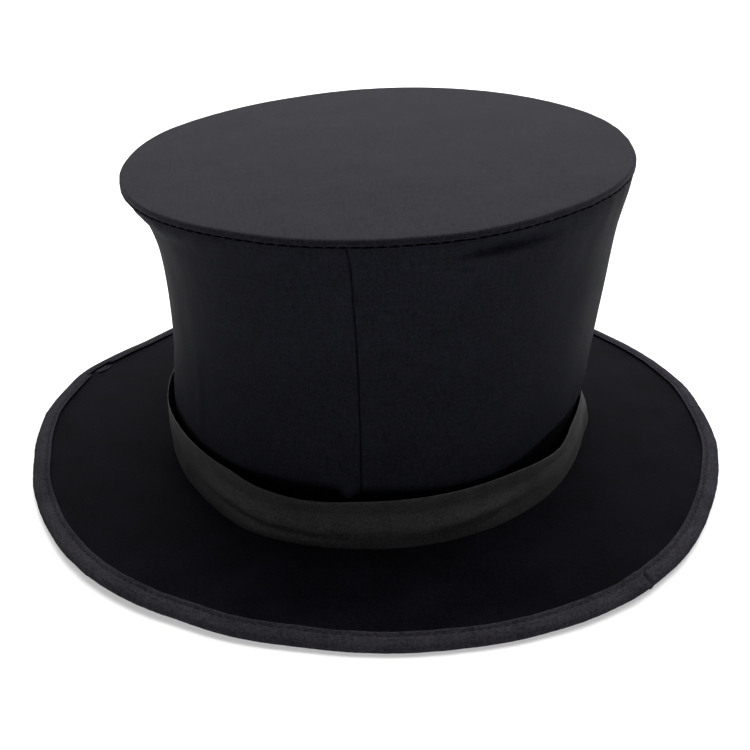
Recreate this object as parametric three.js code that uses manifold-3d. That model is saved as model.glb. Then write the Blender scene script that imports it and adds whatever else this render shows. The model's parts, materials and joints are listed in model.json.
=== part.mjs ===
// A collapsible silk top hat with a sprung frame, millimetres, +Z up.
// The origin is on the floor under the middle of the brim. +X is the wearer's right when the hat
// faces -Y, so the crown's seam is on the -Y side.
// Every ring of the hat is an oval: a radius named here is its half width along X, and the half
// length along Y is OVAL_EXTRA longer.
import * as THREE from "three";
import { mergeVertices } from "three/addons/utils/BufferGeometryUtils.js";
import Module from "manifold-3d";

// ---------------------------------------------------------------- driving dimensions
const HAT_HEIGHT = 124.4; // floor to the middle of the tip
const BRIM_RADIUS = 148;
const CROWN_RADIUS = 87.2; // outside of the crown cloth where it meets the brim
const TIP_RADIUS = 101.3;
const OVAL_EXTRA = 16;
const TIP_LEAN = THREE.MathUtils.degToRad(2.6); // the tip stands higher on the +X side
const GAP = 0.3; // clearance kept between neighbouring pieces

const CLOTH = 0.5; // thickness of the thin cloths
const RING_SIDES = 48;
const ROUND_SIDES = 8; // of pins, rivets, holes and wires

// The brim, from the floor up: binding, under cover, board, top cover, binding.
const BOARD_THICK = 1.4;
const BINDING_WIDTH = 8;
const BRIM_INNER = CROWN_RADIUS - 3.2;
const UNDER_COVER_Z = CLOTH + GAP;
const BOARD_Z = UNDER_COVER_Z + CLOTH + GAP;
const TOP_COVER_Z = BOARD_Z + BOARD_THICK + GAP;
const BRIM_TOP = TOP_COVER_Z + CLOTH + GAP; // the binding's upper turn starts here
const BRIM_WIRE_RADIUS = BOARD_THICK / 2;

// The crown's foot, from the cloth inwards: hoop, bracket, sweatband.
const WALL_THICK = 0.8;
const HOOP_THICK = 1;
const HOOP_OUTER = CROWN_RADIUS - WALL_THICK - 0.6;
const HOOP_Z = [8, 20];
const BRACKET_OUTER = HOOP_OUTER - HOOP_THICK - 0.6;
const BRACKET_WIDTH = 10;
const SHEET_METAL = 1;
const SWEATBAND_OUTER = BRACKET_OUTER - SHEET_METAL - GAP;
const SWEATBAND_Z = [1, 22];
const BAND_HEIGHT = 24;

// The tip's layers, measured down from its top face.
const SKIRT_DROP = 5.5; // the tip cloth is turned down over the edge by this much
const TIP_BOARD_Z = [-2.3, -0.8];
const TIP_LINING_Z = [-3.1, -2.6];
const BRACKET_FOOT_Z = [-4.4, -3.4];
const TIP_HOOP_RADIUS = 1.2;

// The folding struts: two flat arms each, hinged tangentially, that fold inwards.
const ARM_LENGTH = 43.1; // pivot to pivot
const ARM_WIDTH = 5.6;
const ARM_THICK = 1.2;
const OVER_CENTRE = THREE.MathUtils.degToRad(4); // the open knuckle stands outwards of its pivots
const PIVOT_RADIUS = 79;
const LOWER_PIVOT_Z = 26;
const UPPER_PIVOT_Z = LOWER_PIVOT_Z + 2 * ARM_LENGTH * Math.cos(OVER_CENTRE);
const KNUCKLE_RADIUS = PIVOT_RADIUS + ARM_LENGTH * Math.sin(OVER_CENTRE);
const KNUCKLE_Z = (LOWER_PIVOT_Z + UPPER_PIVOT_Z) / 2;
const PIN_RADIUS = 1.25;
const PIN_HEAD_RADIUS = 2.1;
const PIN_HEAD = 0.8;
const HOLE_RADIUS = PIN_RADIUS + GAP;
const EAR_RADIUS = 3.2;
const EAR_GAP = 0.4; // side clearance of an arm between the ears of its bracket
// Places along a hinge's own axis. The lower arm is on the positive side, the upper one on the other.
const ARM_NEAR = 0.4;
const ARM_FAR = ARM_NEAR + ARM_THICK;
const EAR_INNER = [ARM_NEAR - EAR_GAP - ARM_THICK, ARM_NEAR - EAR_GAP];
const EAR_OUTER = [ARM_FAR + EAR_GAP, ARM_FAR + EAR_GAP + ARM_THICK];

const SPRING_WIRE = 0.8;
const SPRING_RADIUS = 2; // middle of the wire
const SPRING_PITCH = 1.1;
const SPRING_TURNS = 2.5;
const SPRING_LEG = 14;
const SPRING_START = ARM_FAR + EAR_GAP + SPRING_WIRE / 2;
const SPRING_END = SPRING_START + SPRING_TURNS * SPRING_PITCH;

const FOOT_LENGTH = 18;
const FOOT_WIDTH = 12;
const RIVET_OFFSET = 6; // each side of a tip bracket's pivot
const RIVET_RADIUS = 0.9;
const RIVET_HEAD_RADIUS = 1.8;
const RIVET_HEAD = 0.6;

// The crown cloth's outside: height, mean radius, and how far its middle is pushed towards +X.
const WALL_PROFILE = [
  [BRIM_TOP + 0.1, 87.2, 0],
  [25, 87.7, 0.8],
  [50, 88.2, 2.9],
  [75, 90, 4],
  [95, 92.3, 3.8],
  [110, 95.8, 2.8],
  [HAT_HEIGHT - SKIRT_DROP - 0.5, 99.3, 1.2],
];

// The hat stands with its four struts at these turns about Z.
const STRUTS = [
  { side: "right", turn: 0, out: 0 },
  { side: "back", turn: Math.PI / 2, out: OVAL_EXTRA },
  { side: "left", turn: Math.PI, out: 0 },
  { side: "front", turn: -Math.PI / 2, out: OVAL_EXTRA },
];

// The two places where the binding's ends lap, as turns about Z.
const LAPS = [
  { side: "left", turn: THREE.MathUtils.degToRad(161) },
  { side: "right", turn: THREE.MathUtils.degToRad(-51) },
];
const LAP_ANGLE = THREE.MathUtils.degToRad(5);
const LAP_STEPS = 5;

// ---------------------------------------------------------------- materials
const material = (color, roughness, metalness = 0) =>
  new THREE.MeshStandardMaterial({ color, roughness, metalness });
const velvet = material(0x101014, 0.95);
const underCloth = material(0x18181b, 0.9);
const satin = material(0x2a2b31, 0.5);
const crownCloth = material(0x17181d, 0.85);
const tipCloth = material(0x1c1c20, 0.85);
const ribbon = material(0x26272a, 0.45);
const liningSatin = material(0x1b1b1f, 0.5);
const leather = material(0x3a2c20, 0.6);
const buckram = material(0x4a4436, 0.9);
const springSteel = material(0x8a8c90, 0.35, 1);
const blackSteel = material(0x2c2d30, 0.45, 0.8);
const brightSteel = material(0xb4b6ba, 0.3, 1);

// ---------------------------------------------------------------- geometry helpers
const wasm = await Module();
wasm.setup();

// A closed geometry as a solid that can be joined and cut.
function solidOf(geometry) {
  const plain = new THREE.BufferGeometry();
  const flat = geometry.index ? geometry.toNonIndexed() : geometry;
  plain.setAttribute("position", flat.getAttribute("position").clone());
  const merged = mergeVertices(plain, 1e-4);
  const vertProperties = merged.attributes.position.array;
  const triVerts = new Uint32Array(merged.index.array);
  return new wasm.Manifold(new wasm.Mesh({ numProp: 3, vertProperties, triVerts }));
}

function geometryOf(solid) {
  const mesh = solid.getMesh();
  const geometry = new THREE.BufferGeometry();
  geometry.setAttribute("position", new THREE.BufferAttribute(mesh.vertProperties, 3));
  geometry.setIndex(new THREE.BufferAttribute(mesh.triVerts, 1));
  geometry.computeVertexNormals();
  return geometry;
}

// The point of the oval of one radius at one turn. Near the middle the extra length fades away.
function ovalPoint(radius, turn) {
  const extra = OVAL_EXTRA * Math.min(1, radius / 40);
  return [radius * Math.cos(turn), (radius + extra) * Math.sin(turn)];
}

// A closed outline of [radius, height] points, counter-clockwise, carried round the oval.
// reshape, if given, returns the radius and height of a point for its turn.
function ovalRing(outline, reshape) {
  const points = outline.map(([radius, z]) => new THREE.Vector2(radius, z));
  if (outline[0][0] > 0) points.push(points[0].clone());
  const geometry = new THREE.LatheGeometry(points, RING_SIDES).rotateX(Math.PI / 2);
  const position = geometry.getAttribute("position");
  for (let i = 0; i < position.count; i++) {
    const turn = Math.atan2(position.getY(i), position.getX(i));
    let radius = Math.hypot(position.getX(i), position.getY(i));
    let z = position.getZ(i);
    if (reshape) [radius, z] = reshape(radius, z, turn);
    position.setXYZ(i, ...ovalPoint(radius, turn), z);
  }
  return geometry;
}

const rectangle = (inner, outer, low, high) => [
  [inner, low],
  [outer, low],
  [outer, high],
  [inner, high],
];

const roundSection = (radius, z, wire) =>
  Array.from({ length: ROUND_SIDES }, (_, i) => {
    const angle = (2 * Math.PI * (i + 0.5)) / ROUND_SIDES;
    return [radius + wire * Math.cos(angle), z + wire * Math.sin(angle)];
  });

// An oval plate with round holes, between two heights.
function ovalPlate(radius, [low, high], holes) {
  const turns = Array.from({ length: RING_SIDES }, (_, i) => (2 * Math.PI * i) / RING_SIDES);
  const shape = new THREE.Shape(turns.map((turn) => new THREE.Vector2(...ovalPoint(radius, turn))));
  for (const [x, y] of holes) {
    shape.holes.push(new THREE.Path().absarc(x, y, RIVET_RADIUS + GAP, 0, 2 * Math.PI));
  }
  const depth = high - low;
  const geometry = new THREE.ExtrudeGeometry(shape, { depth, bevelEnabled: false, curveSegments: 4 });
  return geometry.translate(0, 0, low);
}

// A flat plate whose outline lies in the outward and upward directions of a strut, between two
// places along the strut's hinge axis.
function uprightPlate(shape, [low, high]) {
  const depth = high - low;
  const geometry = new THREE.ExtrudeGeometry(shape, { depth, bevelEnabled: false, curveSegments: 4 });
  return geometry.rotateX(Math.PI / 2).translate(0, high, 0);
}

// A turned piece with its axis along Z: [radius, height] steps from the bottom to the top.
function turned(steps) {
  const [first] = steps;
  const last = steps[steps.length - 1];
  const outline = [[0, first[1]], ...steps, [0, last[1]]];
  const points = outline.map(([radius, z]) => new THREE.Vector2(radius, z));
  return new THREE.LatheGeometry(points, ROUND_SIDES).rotateX(Math.PI / 2);
}

const hat = new THREE.Group();
const tip = new THREE.Group();
tip.position.z = HAT_HEIGHT;
tip.rotation.y = -TIP_LEAN;
hat.add(tip);
tip.updateMatrixWorld(true);

function addPiece(parent, name, geometry, pieceMaterial) {
  const mesh = new THREE.Mesh(geometry, pieceMaterial);
  mesh.name = name;
  parent.add(mesh);
  return mesh;
}

// ---------------------------------------------------------------- brim
function addBrim() {
  const edgeInner = BRIM_RADIUS - CLOTH;
  const coverOuter = edgeInner - GAP;
  const wireRadius = coverOuter - 0.4 - BRIM_WIRE_RADIUS;
  const boardOuter = wireRadius - BRIM_WIRE_RADIUS - 0.5;
  const tapeInner = BRIM_RADIUS - BINDING_WIDTH;
  const board = rectangle(BRIM_INNER, boardOuter, BOARD_Z, BOARD_Z + BOARD_THICK);
  const topCover = rectangle(BRIM_INNER, coverOuter, TOP_COVER_Z, TOP_COVER_Z + CLOTH);
  const underCover = rectangle(BRIM_INNER, coverOuter, UNDER_COVER_Z, UNDER_COVER_Z + CLOTH);
  const wire = roundSection(wireRadius, BOARD_Z + BOARD_THICK / 2, BRIM_WIRE_RADIUS);
  const binding = [
    [tapeInner, 0],
    [BRIM_RADIUS, 0],
    [BRIM_RADIUS, BRIM_TOP + CLOTH],
    [tapeInner, BRIM_TOP + CLOTH],
    [tapeInner, BRIM_TOP],
    [edgeInner, BRIM_TOP],
    [edgeInner, CLOTH],
    [tapeInner, CLOTH],
  ];
  addPiece(hat, "brim_board", ovalRing(board), buckram);
  addPiece(hat, "brim_wire", ovalRing(wire), springSteel);
  addPiece(hat, "brim_top_cover", ovalRing(topCover), velvet);
  addPiece(hat, "brim_under_cover", ovalRing(underCover), underCloth);
  addPiece(hat, "brim_binding", ovalRing(binding), satin);
}

// The folded end of the binding tape, lying on the binding where the tape laps.
function addLap({ side, turn }) {
  const inner = BRIM_RADIUS - BINDING_WIDTH - 0.4;
  const turns = Array.from({ length: LAP_STEPS + 1 }, (_, i) => turn + LAP_ANGLE * (i / LAP_STEPS - 0.5));
  const outerEdge = turns.map((at) => new THREE.Vector2(...ovalPoint(BRIM_RADIUS + 0.3, at)));
  const innerEdge = turns.map((at) => new THREE.Vector2(...ovalPoint(inner, at))).reverse();
  const shape = new THREE.Shape([...outerEdge, ...innerEdge]);
  const geometry = new THREE.ExtrudeGeometry(shape, { depth: CLOTH, bevelEnabled: false });
  geometry.translate(0, 0, BRIM_TOP + CLOTH + GAP);
  addPiece(hat, `binding_lap_${side}`, geometry, satin);
}

// ---------------------------------------------------------------- crown
// The cloth wall. Its upper part follows the lean of the tip.
function crownWall() {
  const outside = WALL_PROFILE.map(([z, radius]) => [radius, z]);
  const inside = WALL_PROFILE.map(([z, radius]) => [radius - WALL_THICK, z]).reverse();
  const [bottom] = WALL_PROFILE[0];
  const [top] = WALL_PROFILE[WALL_PROFILE.length - 1];
  const pushAt = (z) => WALL_PROFILE.find((row) => Math.abs(row[0] - z) < 0.01)[2];
  return ovalRing([...outside, ...inside], (radius, z, turn) => {
    const pushed = radius + pushAt(z) * Math.cos(turn);
    const share = (z - bottom) / (top - bottom);
    return [pushed, z + share * Math.tan(TIP_LEAN) * radius * Math.cos(turn)];
  });
}

function addCrown() {
  const bandFoot = CROWN_RADIUS + 2;
  const bandMiddle = bandFoot + 0.8;
  const bandTop = bandFoot + 0.6;
  const bandLow = BRIM_TOP + 0.1;
  const bandHigh = bandLow + BAND_HEIGHT;
  const band = [
    [bandFoot, bandLow],
    [bandFoot + CLOTH, bandLow],
    [bandMiddle + CLOTH, bandLow + BAND_HEIGHT / 2],
    [bandTop + CLOTH, bandHigh],
    [bandTop, bandHigh],
    [bandMiddle, bandLow + BAND_HEIGHT / 2],
  ];
  const hoop = rectangle(HOOP_OUTER - HOOP_THICK, HOOP_OUTER, ...HOOP_Z);
  const sweatband = rectangle(SWEATBAND_OUTER - 1, SWEATBAND_OUTER, ...SWEATBAND_Z);
  addPiece(hat, "crown_wall", crownWall(), crownCloth);
  addPiece(hat, "hat_band", ovalRing(band), ribbon);
  addPiece(hat, "base_hoop", ovalRing(hoop), springSteel);
  addPiece(hat, "sweatband", ovalRing(sweatband), leather);
}

// ---------------------------------------------------------------- tip
const rivetHoles = STRUTS.flatMap(({ turn, out }) =>
  [-RIVET_OFFSET, RIVET_OFFSET].map((offset) => {
    const reach = PIVOT_RADIUS + out + offset;
    return [reach * Math.cos(turn), reach * Math.sin(turn)];
  }),
);

function addTip() {
  const skirtInner = TIP_RADIUS - WALL_THICK;
  const hoopRadius = skirtInner - 0.6 - TIP_HOOP_RADIUS;
  const boardRadius = hoopRadius - TIP_HOOP_RADIUS - 0.5;
  const cover = [
    [0, -CLOTH],
    [skirtInner, -CLOTH],
    [skirtInner, -SKIRT_DROP],
    [TIP_RADIUS, -SKIRT_DROP],
    [TIP_RADIUS, -CLOTH],
    [TIP_RADIUS - CLOTH, 0],
    [0, 0],
  ];
  addPiece(tip, "tip_cover", ovalRing(cover), tipCloth);
  addPiece(tip, "tip_hoop", ovalRing(roundSection(hoopRadius, -2.2, TIP_HOOP_RADIUS)), springSteel);
  addPiece(tip, "tip_board", ovalPlate(boardRadius, TIP_BOARD_Z, rivetHoles), buckram);
  addPiece(tip, "tip_lining", ovalPlate(boardRadius - 1, TIP_LINING_Z, rivetHoles), liningSatin);
}

function addTipRivets({ side }, index) {
  const steps = [
    [RIVET_HEAD_RADIUS * 0.7, BRACKET_FOOT_Z[0] - GAP - RIVET_HEAD],
    [RIVET_HEAD_RADIUS, BRACKET_FOOT_Z[0] - GAP],
    [RIVET_RADIUS, BRACKET_FOOT_Z[0] - GAP],
    [RIVET_RADIUS, TIP_BOARD_Z[1] - 0.1],
  ];
  ["inner", "outer"].forEach((place, i) => {
    const [x, y] = rivetHoles[2 * index + i];
    const rivet = addPiece(tip, `tip_rivet_${side}_${place}`, turned(steps), brightSteel);
    rivet.position.set(x, y, 0);
  });
}

// ---------------------------------------------------------------- struts
// The outline of a bracket's ear: a round end about the pivot, with a straight root.
function earShape(toX, toZ) {
  const shape = new THREE.Shape();
  const direction = Math.atan2(toZ, toX);
  shape.moveTo(
    toX + EAR_RADIUS * Math.sin(direction),
    toZ - EAR_RADIUS * Math.cos(direction),
  );
  shape.lineTo(
    toX - EAR_RADIUS * Math.sin(direction),
    toZ + EAR_RADIUS * Math.cos(direction),
  );
  shape.absarc(0, 0, EAR_RADIUS, direction + Math.PI / 2, direction + (3 * Math.PI) / 2);
  shape.closePath();
  shape.holes.push(new THREE.Path().absarc(0, 0, HOLE_RADIUS, 0, 2 * Math.PI));
  return shape;
}

function armShape() {
  const end = ARM_WIDTH / 2;
  const waist = end - 0.6;
  const shape = new THREE.Shape();
  shape.absarc(0, 0, end, Math.PI, 2 * Math.PI);
  shape.lineTo(waist, ARM_LENGTH * 0.15);
  shape.lineTo(waist, ARM_LENGTH * 0.85);
  shape.lineTo(end, ARM_LENGTH);
  shape.absarc(0, ARM_LENGTH, end, 0, Math.PI);
  shape.lineTo(-waist, ARM_LENGTH * 0.85);
  shape.lineTo(-waist, ARM_LENGTH * 0.15);
  shape.closePath();
  for (const z of [0, ARM_LENGTH]) {
    shape.holes.push(new THREE.Path().absarc(0, z, HOLE_RADIUS, 0, 2 * Math.PI));
  }
  return shape;
}

// The lower bracket: a plate held to the hoop, with two ears over the top of the sweatband.
function lowerBracket() {
  const plateLow = HOOP_Z[0] + 2;
  const plateHigh = LOWER_PIVOT_Z + EAR_RADIUS;
  const plate = new THREE.BoxGeometry(SHEET_METAL, BRACKET_WIDTH, plateHigh - plateLow);
  plate.translate(BRACKET_OUTER - SHEET_METAL / 2, 0, (plateHigh + plateLow) / 2);
  let bracket = solidOf(plate);
  const rootX = BRACKET_OUTER - SHEET_METAL / 2 - PIVOT_RADIUS;
  for (const place of [EAR_INNER, EAR_OUTER]) {
    const ear = uprightPlate(earShape(rootX, 0), place).translate(PIVOT_RADIUS, 0, LOWER_PIVOT_Z);
    bracket = bracket.add(solidOf(ear));
  }
  return geometryOf(bracket);
}

// The upper bracket: a foot that lies against the leaning tip, with two upright ears below it.
function upperBracket({ turn, out }) {
  const footZ = (BRACKET_FOOT_Z[0] + BRACKET_FOOT_Z[1]) / 2;
  const foot = new THREE.BoxGeometry(FOOT_LENGTH, FOOT_WIDTH, BRACKET_FOOT_Z[1] - BRACKET_FOOT_Z[0]);
  foot.translate(PIVOT_RADIUS + out, 0, footZ).rotateZ(turn).applyMatrix4(tip.matrixWorld);
  let bracket = solidOf(foot);
  const lift = Math.tan(TIP_LEAN) * PIVOT_RADIUS * Math.cos(turn);
  const rise = HAT_HEIGHT + footZ + lift - UPPER_PIVOT_Z;
  for (const [near, far] of [EAR_INNER, EAR_OUTER]) {
    const ear = uprightPlate(earShape(0, rise), [-far, -near]);
    ear.translate(PIVOT_RADIUS + out, 0, UPPER_PIVOT_Z).rotateZ(turn);
    bracket = bracket.add(solidOf(ear));
  }
  for (const offset of [-RIVET_OFFSET, RIVET_OFFSET]) {
    const drill = turned([
      [RIVET_RADIUS + GAP, footZ - 1],
      [RIVET_RADIUS + GAP, footZ + 1],
    ]);
    drill.translate(PIVOT_RADIUS + out + offset, 0, 0).rotateZ(turn).applyMatrix4(tip.matrixWorld);
    bracket = bracket.subtract(solidOf(drill));
  }
  return geometryOf(bracket);
}

// A headed pin along a strut's hinge axis, gripping everything between two places on it.
function pinGeometry([low, high]) {
  const start = low - GAP;
  const end = high + GAP;
  const pin = turned([
    [PIN_HEAD_RADIUS, start - PIN_HEAD],
    [PIN_HEAD_RADIUS, start],
    [PIN_RADIUS, start],
    [PIN_RADIUS, end],
    [PIN_HEAD_RADIUS, end],
    [PIN_HEAD_RADIUS, end + PIN_HEAD],
  ]);
  return pin.rotateX(-Math.PI / 2);
}

// The wire of a knuckle spring: a leg along the lower arm, then the coil round the pin.
class SpringWire extends THREE.Curve {
  getPoint(share, target = new THREE.Vector3()) {
    const coil = SPRING_TURNS * 2 * Math.PI * SPRING_RADIUS;
    const along = share * (SPRING_LEG + coil);
    if (along < SPRING_LEG) return target.set(SPRING_RADIUS, SPRING_START, along - SPRING_LEG);
    const angle = (along - SPRING_LEG) / SPRING_RADIUS;
    const place = SPRING_START + (SPRING_PITCH * angle) / (2 * Math.PI);
    return target.set(SPRING_RADIUS * Math.cos(angle), place, SPRING_RADIUS * Math.sin(angle));
  }
}

function springGeometry() {
  const section = new THREE.Shape().absarc(0, 0, SPRING_WIRE / 2, 0, 2 * Math.PI);
  const extrudePath = new SpringWire();
  return new THREE.ExtrudeGeometry(section, { extrudePath, steps: 36, curveSegments: 3 });
}

function addStrut(strut) {
  const { side, turn, out } = strut;
  const frame = new THREE.Group();
  frame.rotation.z = turn;
  const shifted = new THREE.Group();
  shifted.position.x = out;
  frame.add(shifted);
  hat.add(frame);

  addPiece(shifted, `lower_bracket_${side}`, lowerBracket(), blackSteel);
  const lowerPin = pinGeometry([EAR_INNER[0], EAR_OUTER[1]]);
  addPiece(shifted, `lower_pin_${side}`, lowerPin, brightSteel).position.set(PIVOT_RADIUS, 0, LOWER_PIVOT_Z);

  const lowerArm = uprightPlate(armShape(), [ARM_NEAR, ARM_FAR]).rotateY(OVER_CENTRE);
  addPiece(shifted, `lower_arm_${side}`, lowerArm, springSteel).position.set(PIVOT_RADIUS, 0, LOWER_PIVOT_Z);
  const spring = springGeometry().rotateY(OVER_CENTRE);
  addPiece(shifted, `knuckle_spring_${side}`, spring, brightSteel).position.set(KNUCKLE_RADIUS, 0, KNUCKLE_Z);

  const upperArm = uprightPlate(armShape(), [-ARM_FAR, -ARM_NEAR]).rotateY(-OVER_CENTRE);
  addPiece(shifted, `upper_arm_${side}`, upperArm, springSteel).position.set(KNUCKLE_RADIUS, 0, KNUCKLE_Z);
  const knucklePin = pinGeometry([-ARM_FAR, SPRING_END + SPRING_WIRE / 2]);
  addPiece(shifted, `knuckle_pin_${side}`, knucklePin, brightSteel).position.set(KNUCKLE_RADIUS, 0, KNUCKLE_Z);

  addPiece(hat, `upper_bracket_${side}`, upperBracket(strut), blackSteel);
  const upperPin = pinGeometry([-EAR_OUTER[1], -EAR_INNER[0]]);
  addPiece(shifted, `upper_pin_${side}`, upperPin, brightSteel).position.set(PIVOT_RADIUS, 0, UPPER_PIVOT_Z);
}

addBrim();
LAPS.forEach(addLap);
addCrown();
addTip();
STRUTS.forEach(addTipRivets);
STRUTS.forEach(addStrut);

export default hat;
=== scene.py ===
import json
import math

import bpy
from mathutils import Matrix, Vector, noise


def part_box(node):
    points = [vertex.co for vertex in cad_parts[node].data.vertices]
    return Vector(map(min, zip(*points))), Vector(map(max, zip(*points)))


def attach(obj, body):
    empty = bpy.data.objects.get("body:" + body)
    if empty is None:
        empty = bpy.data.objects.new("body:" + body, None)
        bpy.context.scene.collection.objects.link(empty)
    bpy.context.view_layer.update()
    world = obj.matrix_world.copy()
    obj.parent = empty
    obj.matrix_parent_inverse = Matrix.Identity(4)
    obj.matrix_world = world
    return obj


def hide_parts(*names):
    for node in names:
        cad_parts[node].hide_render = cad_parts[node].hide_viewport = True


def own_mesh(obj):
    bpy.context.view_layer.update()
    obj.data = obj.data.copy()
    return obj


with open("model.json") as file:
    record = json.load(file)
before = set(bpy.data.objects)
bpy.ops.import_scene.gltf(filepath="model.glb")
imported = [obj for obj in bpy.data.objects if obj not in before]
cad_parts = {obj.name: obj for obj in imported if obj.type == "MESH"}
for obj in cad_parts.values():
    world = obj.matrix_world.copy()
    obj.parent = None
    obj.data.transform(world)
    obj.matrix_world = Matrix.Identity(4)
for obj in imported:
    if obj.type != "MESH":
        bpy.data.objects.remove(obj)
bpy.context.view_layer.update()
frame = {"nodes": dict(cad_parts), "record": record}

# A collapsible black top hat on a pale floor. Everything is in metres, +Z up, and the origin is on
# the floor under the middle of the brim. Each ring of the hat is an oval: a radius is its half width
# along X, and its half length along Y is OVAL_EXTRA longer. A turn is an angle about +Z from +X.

TAU = 2 * math.pi
MM = 0.001
DEG = math.pi / 180

# ------------------------------------------------------------------ sizes, from the frame
mounts = {mount["name"]: mount for mount in frame["record"]["mounts"]}
binding_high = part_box("brim_binding")[1]
cover_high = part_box("brim_top_cover")[1]
sweatband_low, sweatband_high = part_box("sweatband")
BRIM_RADIUS = binding_high[0]
BRIM_TOP = cover_high[2]
BINDING_TOP = binding_high[2]
OVAL_EXTRA = binding_high[1] - binding_high[0]
SWEATBAND_RADIUS = sweatband_high[0]
SWEATBAND_BASE = sweatband_low[2]
SWEATBAND_TOP = sweatband_high[2]
TIP_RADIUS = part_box("tip_cover")[1][0]
TIP_Z = mounts["tip_top"]["pos_m"][2]
TIP_LEAN = math.asin(-mounts["tip_top"]["axis"][0])
TIP_FRAME = Matrix.Translation((0, 0, TIP_Z)) @ Matrix.Rotation(-TIP_LEAN, 4, "Y")
# the wall stands just outside the spring steel hoop, and the brim's layers run in under the wall
CROWN_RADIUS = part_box("base_hoop")[1][0] + 1.4 * MM
BRIM_INNER = CROWN_RADIUS - 3.2 * MM

# ------------------------------------------------------------------ camera and light
CAMERA_DISTANCE = 0.452
CAMERA_HEIGHT = 0.2373
CAMERA_PITCH = 25.4 * DEG
CAMERA_LENS = 54.4
SENSOR_WIDTH = 36
WORLD_STRENGTH = 0.3


def add_camera():
    data = bpy.data.cameras.new("camera")
    data.lens = CAMERA_LENS
    data.sensor_width = SENSOR_WIDTH
    data.clip_start = 10 * MM
    camera = bpy.data.objects.new("camera", data)
    camera.location = (0, -CAMERA_DISTANCE, CAMERA_HEIGHT)
    camera.rotation_euler = (math.pi / 2 - CAMERA_PITCH, 0, 0)
    bpy.context.collection.objects.link(camera)
    bpy.context.scene.camera = camera


def add_area(name, place, target, size, power):
    """A rectangular light that looks at its target."""
    data = bpy.data.lights.new(name, "AREA")
    data.shape = "RECTANGLE"
    data.size, data.size_y = size
    data.energy = power
    lamp = bpy.data.objects.new(name, data)
    lamp.location = place
    aim = Vector(target) - Vector(place)
    lamp.rotation_euler = aim.to_track_quat("-Z", "Y").to_euler()
    bpy.context.collection.objects.link(lamp)


def add_studio():
    """A wide light above and behind the hat, a weak one behind it, and a dim white world."""
    world = bpy.data.worlds.new("studio")
    bpy.context.scene.world = world
    world.use_nodes = True
    background = world.node_tree.nodes["Background"]
    background.inputs["Color"].default_value = (1, 1, 1, 1)
    background.inputs["Strength"].default_value = WORLD_STRENGTH
    add_area("overhead", place=(0.25, 0.95, 1.9), target=(0.15, 0.5, 0), size=(3.0, 2.2), power=130)
    add_area("backdrop", place=(-0.05, 1.8, 0.6), target=(0, 0, 0.1), size=(2.6, 0.9), power=8)
    bpy.context.scene.view_settings.view_transform = "Standard"
    bpy.context.scene.view_settings.look = "None"


# ------------------------------------------------------------------ mesh helpers
# rings whose half width is smaller than this get rounder towards the middle
OVAL_FROM = 40 * MM


def bell(distance, width):
    """A smooth hump, 1 in its middle and near 0 beyond twice its width."""
    return math.exp(-((distance / width) ** 2))


def smooth(low, high, value):
    """0 at low and 1 at high, with a soft start and end. Low may be the larger one."""
    share = min(1, max(0, (value - low) / (high - low)))
    return share * share * (3 - 2 * share)


def turn_from(turn, centre):
    """The smallest angle from a centre to a turn, signed."""
    return (turn - centre + math.pi) % TAU - math.pi


def wander(*place):
    """Smooth noise from -1 to 1."""
    return noise.noise(Vector(place))


def ring_noise(turn, scale, seed, second=0.0):
    """Noise that joins up round a ring. A larger scale makes shorter waves."""
    return wander(scale * math.cos(turn) + seed, scale * math.sin(turn) - seed, second)


def oval(radius, turn):
    """A point of the oval with this half width."""
    extra = OVAL_EXTRA * min(1, radius / OVAL_FROM)
    return radius * math.cos(turn), (radius + extra) * math.sin(turn)


def even_turns(count):
    return [TAU * i / count for i in range(count)]


def turns_with(count, *finer):
    """Even turns, with finer ones within each (centre, half width, step)."""
    turns = even_turns(count)
    for centre, half, step in finer:
        turns = [turn for turn in turns if abs(turn_from(turn, centre)) > half + step / 2]
        turns += [(centre + offset) % TAU for offset in spread(-half, half, round(2 * half / step) + 1)]
    return sorted(turns)


def spread(low, high, count):
    """Evenly spaced values, both ends included."""
    return [low + (high - low) * i / (count - 1) for i in range(count)]


def value_along(rows, at):
    """The smooth curve through rows of (place, value, ...), read at a place."""
    k = 0
    while k < len(rows) - 2 and at > rows[k + 1][0]:
        k += 1
    low, high = rows[k], rows[k + 1]
    before = rows[k - 1] if k else low
    after = rows[k + 2] if k + 2 < len(rows) else high
    t = (at - low[0]) / (high[0] - low[0])
    span = high[0] - low[0]
    values = []
    for a, b, c, d in zip(before[1:], low[1:], high[1:], after[1:]):
        start = (c - a) * span / (high[0] - before[0])
        end = (d - b) * span / (after[0] - low[0])
        values.append(
            b * (2 * t ** 3 - 3 * t ** 2 + 1) + start * (t ** 3 - 2 * t ** 2 + t)
            + c * (3 * t ** 2 - 2 * t ** 3) + end * (t ** 3 - t ** 2)
        )
    return values


def swapped(row, turn):
    """The flat place for a round wire: round the hat, then round the wire."""
    return turn, row


def add_object(name, vertices, faces, material, cloth=None):
    """A mesh object. cloth holds the flat place of each corner of each face."""
    mesh = bpy.data.meshes.new(name)
    mesh.from_pydata([tuple(v) for v in vertices], [], faces)
    if cloth:
        layer = mesh.uv_layers.new(name="cloth")
        flat = [value for pair in cloth for value in pair]
        layer.data.foreach_set("uv", flat)
    mesh.materials.append(material)
    mesh.shade_smooth()
    made = bpy.data.objects.new(name, mesh)
    bpy.context.collection.objects.link(made)
    return made


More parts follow.
